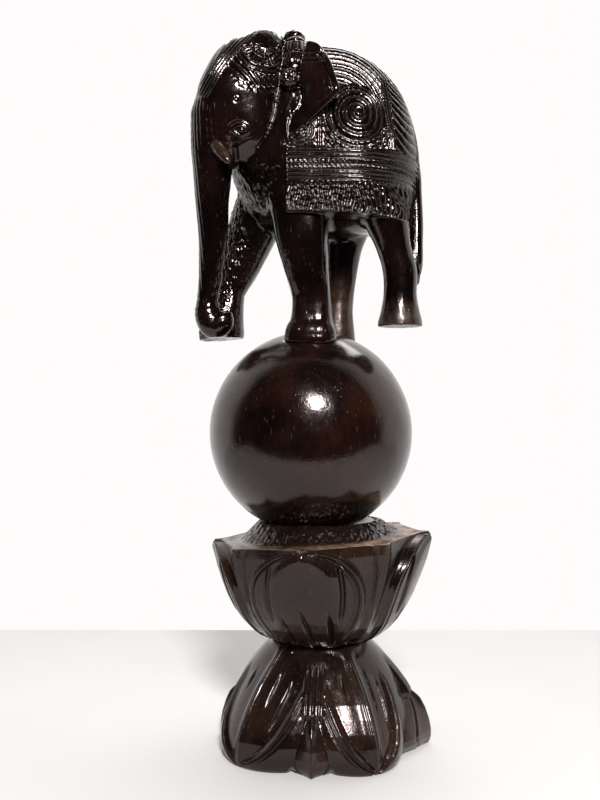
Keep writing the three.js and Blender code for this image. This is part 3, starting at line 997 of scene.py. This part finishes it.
class Nodes:
    """Short names for building the shader of a material or the world."""

    def __init__(self, owner, shader="Principled BSDF"):
        owner.use_nodes = True
        self.owner = owner
        self.tree = owner.node_tree
        self.shader = self.tree.nodes[shader]

    def node(self, kind, **values):
        made = self.tree.nodes.new("ShaderNode" + kind)
        for key, value in values.items():
            if key in made.inputs:
                self.give(made.inputs[key], value)
            else:
                setattr(made, key, value)
        return made

    def give(self, socket, value):
        if isinstance(value, bpy.types.NodeSocket):
            self.tree.links.new(value, socket)
        else:
            socket.default_value = value

    def put(self, name, value):
        self.give(self.shader.inputs[name], value)

    def bump(self, strength, distance, height):
        made = self.node("Bump", Strength=strength, Distance=distance, Height=height)
        self.put("Normal", made.outputs["Normal"])

    def place(self, scale=(1, 1, 1)):
        """The point on the object, in metres times scale."""
        texture = self.node("TexCoord")
        mapping = self.node("Mapping")
        mapping.inputs["Scale"].default_value = scale
        self.give(mapping.inputs["Vector"], texture.outputs["Object"])
        return mapping.outputs["Vector"]

    def noise(self, place, scale, detail=4.0, roughness=0.55):
        made = self.node("TexNoise", Vector=place, Scale=scale, Detail=detail, Roughness=roughness)
        return made.outputs["Fac"]

    def curve(self, value, *stops):
        """A colour ramp through (position, colour or number) stops."""
        made = self.node("ValToRGB", Fac=value)
        elements = made.color_ramp.elements
        while len(elements) < len(stops):
            elements.new(0.5)
        for element, (position, colour) in zip(elements, stops):
            element.position = position
            element.color = (colour, colour, colour, 1) if isinstance(colour, float) else (*colour, 1)
        return made.outputs["Color"]

    def mix(self, factor, a, b):
        made = self.node("Mix", data_type="RGBA")
        self.give(made.inputs["Factor"], factor)
        self.give(made.inputs["A"], a if isinstance(a, bpy.types.NodeSocket) else (*a, 1))
        self.give(made.inputs["B"], b if isinstance(b, bpy.types.NodeSocket) else (*b, 1))
        return made.outputs["Result"]

    def math(self, operation, a, b=0.0):
        made = self.node("Math", operation=operation)
        self.give(made.inputs[0], a)
        self.give(made.inputs[1], b)
        return made.outputs[0]

    def attribute(self, name):
        return self.node("Attribute", attribute_name=name).outputs["Fac"]


def wood_pores(n):
    """1 in the pores, which are long and thin, and 0 between them."""
    cells = n.node("TexVoronoi", Vector=n.place((1, 1, 0.09)), Scale=900.0).outputs["Distance"]
    return n.curve(cells, (0.06, 1.0), (0.14, 0.0))


def stained_colour(n, place, along, pores, dark, warm, worn_colour, warmth):
    """Dark stain with a warm undertone in patches, bare wood where it is worn, and painted shade in the
    carved cuts, near black where they are deepest.
    """
    patches = n.curve(n.noise(place, 38, 3), (warmth - 0.12, 0.0), (warmth + 0.16, 1.0))
    colour = n.mix(patches, dark, warm)
    grain = n.curve(n.noise(along, 900, 5, 0.6), (0.42, 0.0), (0.62, 0.35))
    colour = n.mix(grain, colour, [c * 0.35 for c in dark])
    colour = n.mix(n.math("MULTIPLY", pores, 0.55), colour, PORE_COLOUR)
    worn = n.curve(n.noise(place, 160, 5, 0.65), (0.36, 0.0), (0.66, 1.0))
    colour = n.mix(n.math("MULTIPLY", n.attribute("wear"), worn), colour, worn_colour)
    # painted shade: the deeper the cut, the nearer its colour goes to near black
    return n.mix(n.math("MULTIPLY", n.attribute("recess"), 0.85), colour, CUT_SHADE_COLOUR)


def brushed_bump(n, place, along, pores):
    """The lacquer's small waves, the grain and the sunken pores."""
    layers = ((n.noise(place, 420, 4, 0.6), 0.5), (n.noise(along, 1500, 3, 0.5), 0.25),
              (pores, -0.35), (n.noise(place, 1300, 2, 0.5), 0.3))
    height = 0.0
    for layer, depth in layers:
        height = n.math("ADD", height, n.math("MULTIPLY", layer, depth))
    n.bump(0.32, 0.0004, height)


def lacquered_wood(name, dark, warm, worn_colour, warmth=0.5, gloss=0.2, level=0.5):
    """Stained wood under brushed lacquer, which is duller where it is worn or carved."""
    n = Nodes(bpy.data.materials.new(name))
    place = n.place()
    along = n.place((1, 1, 0.16))
    pores = wood_pores(n)
    colour = stained_colour(n, place, along, pores, dark, warm, worn_colour, warmth)
    streaks = n.curve(n.noise(place, 220, 5, 0.7), (0.35, gloss * 0.75), (0.75, gloss * 1.7))
    worn = n.math("MULTIPLY", n.attribute("wear"), 0.34)
    carved = n.math("MULTIPLY", n.math("MINIMUM", n.attribute("recess"), 1.0), 0.14)
    roughness = n.math("ADD", streaks, n.math("ADD", worn, carved))
    n.put("Base Color", colour)
    n.put("Roughness", roughness)
    brushed_bump(n, place, along, pores)
    n.shader.inputs["Specular IOR Level"].default_value = level
    n.shader.inputs["Specular Tint"].default_value = (1.0, 0.83, 0.80, 1)
    n.shader.inputs["Coat Weight"].default_value = 0.22
    n.shader.inputs["Coat Roughness"].default_value = 0.09
    return n.owner


def bare_wood(name, light, dark):
    n = Nodes(bpy.data.materials.new(name))
    grain = n.noise(n.place((1, 1, 0.12)), 700, 5)
    colour = n.mix(n.curve(grain, (0.4, 0.0), (0.65, 1.0)), light, dark)
    n.put("Base Color", colour)
    n.put("Roughness", n.curve(grain, (0.3, 0.45), (0.7, 0.65)))
    n.bump(0.3, 0.0003, grain)
    return n.owner


def finish_with(obj, material):
    obj.data.materials.clear()
    obj.data.materials.append(material)


PALE_WOOD = (0.36, 0.235, 0.155)
BROWN_WOOD = (0.075, 0.043, 0.024)
PORE_COLOUR = (0.11, 0.062, 0.036)
# painted shade: the near black that the carved cuts are darkened towards
CUT_SHADE_COLOUR = (0.0008, 0.0005, 0.0005)
elephant_wood = lacquered_wood("elephant_lacquer", (0.0026, 0.0012, 0.0013), (0.0125, 0.0044, 0.0034),
                               BROWN_WOOD, warmth=0.56, gloss=0.125)
ball_wood = lacquered_wood("ball_lacquer", (0.0034, 0.0014, 0.0013), (0.018, 0.006, 0.0034),
                           BROWN_WOOD, warmth=0.55, gloss=0.16, level=0.45)
lotus_wood = lacquered_wood("lotus_lacquer", (0.006, 0.0026, 0.0022), (0.024, 0.0125, 0.0075),
                            PALE_WOOD, warmth=0.53, gloss=0.17, level=0.38)
finish_with(elephant, elephant_wood)
finish_with(ball, ball_wood)
for flower in flowers:
    finish_with(flower, lotus_wood)
tusk_wood = lacquered_wood("tusk_lacquer", (0.008, 0.004, 0.0026), (0.03, 0.016, 0.009), BROWN_WOOD)
dowel_wood = bare_wood("dowel_wood", (0.45, 0.3, 0.16), (0.3, 0.19, 0.1))
for tusk in tusks:
    finish_with(tusk, tusk_wood)
for node in ("waist_dowel", "ball_dowel", "front_foot_dowel", "hind_foot_dowel"):
    finish_with(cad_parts[node], dowel_wood)


# ---- studio

VIEW_TURN = math.radians(6)  # the camera stands this far round towards +X
VIEW_DISTANCE = 0.401
VIEW_HEIGHT = 0.145
VIEW_ASIDE = 0.0086  # the camera is this far to the left of the pedestal's axis
FOCAL_SHARE = 1.1625  # focal length over the picture's long side
SENSOR_WIDTH = 36
FLOOR_HALF = 0.7
FLOOR_FRONT = -0.24
FLOOR_BACK = 0.185  # the table ends here, and the white backdrop shows past it

toward = Vector((math.sin(VIEW_TURN), -math.cos(VIEW_TURN), 0))
rightward = Vector((math.cos(VIEW_TURN), math.sin(VIEW_TURN), 0))


def make_camera():
    data = bpy.data.cameras.new("camera")
    data.sensor_width = SENSOR_WIDTH
    data.lens = SENSOR_WIDTH * FOCAL_SHARE
    data.clip_start = 0.01
    camera = add_object("camera", data)
    camera.location = toward * VIEW_DISTANCE - rightward * VIEW_ASIDE + Vector((0, 0, VIEW_HEIGHT))
    camera.rotation_euler = (math.pi / 2, 0, VIEW_TURN)
    bpy.context.scene.camera = camera


def make_floor():
    """A pale cloth on a table."""
    mesh = bpy.data.meshes.new("floor")
    corners = [(-FLOOR_HALF, FLOOR_FRONT), (FLOOR_HALF, FLOOR_FRONT),
               (FLOOR_HALF, FLOOR_BACK), (-FLOOR_HALF, FLOOR_BACK)]
    mesh.from_pydata([tuple(rightward * a - toward * b) for a, b in corners], [], [(0, 1, 2, 3)])
    floor = add_object("floor", mesh)
    n = Nodes(bpy.data.materials.new("floor_cloth"))
    colour = n.curve(n.noise(n.place(), 6, 3), (0.3, (0.60, 0.585, 0.58)), (0.7, (0.64, 0.625, 0.62)))
    n.put("Base Color", colour)
    n.put("Roughness", 0.9)
    weave = n.node("TexVoronoi", Vector=n.place(), Scale=1400.0).outputs["Distance"]
    n.bump(0.15, 0.0003, weave)
    floor.data.materials.append(n.owner)


def softbox(name, place, aim, size, power, colour=(1, 1, 1), shape="RECTANGLE"):
    data = bpy.data.lights.new(name, "AREA")
    data.shape = shape
    data.size = size[0]
    data.size_y = size[1]
    data.energy = power
    data.color = colour
    light = add_object(name, data)
    light.location = place
    light.rotation_euler = (Vector(aim) - Vector(place)).to_track_quat("-Z", "Y").to_euler()


def make_world():
    """White behind the object and at its sides, and dark on the camera's side, for the reflections.

    The camera itself sees a white backdrop on every side.
    """
    n = Nodes(bpy.data.worlds.new("room"), "Background")
    bpy.context.scene.world = n.owner
    direction = n.node("SeparateXYZ", Vector=n.node("TexCoord").outputs["Generated"])
    to_the_back = n.math("ADD", direction.outputs["Y"], 0.5)
    room = n.curve(to_the_back, (0.44, (0.016, 0.015, 0.016)), (0.62, (1.0, 0.985, 0.98)))
    seen = n.node("LightPath").outputs["Is Camera Ray"]
    n.put("Color", n.mix(seen, room, (0.99, 0.975, 0.97)))
    n.put("Strength", 1.0)


def make_lights():
    centre = Vector((0, 0, 0.15))
    key = toward * 0.85 + Vector((0, 0, 0.15 + 0.52)) + rightward * 0.09
    softbox("key", key, centre, (0.2, 0.2), 16, (1, 0.99, 0.97), "DISK")
    softbox("rim", Vector((0.1, 0.6, 1.0)), centre, (0.9, 0.45), 5.5)


make_camera()
make_floor()
make_world()
make_lights()
bpy.context.scene.view_settings.view_transform = "Standard"
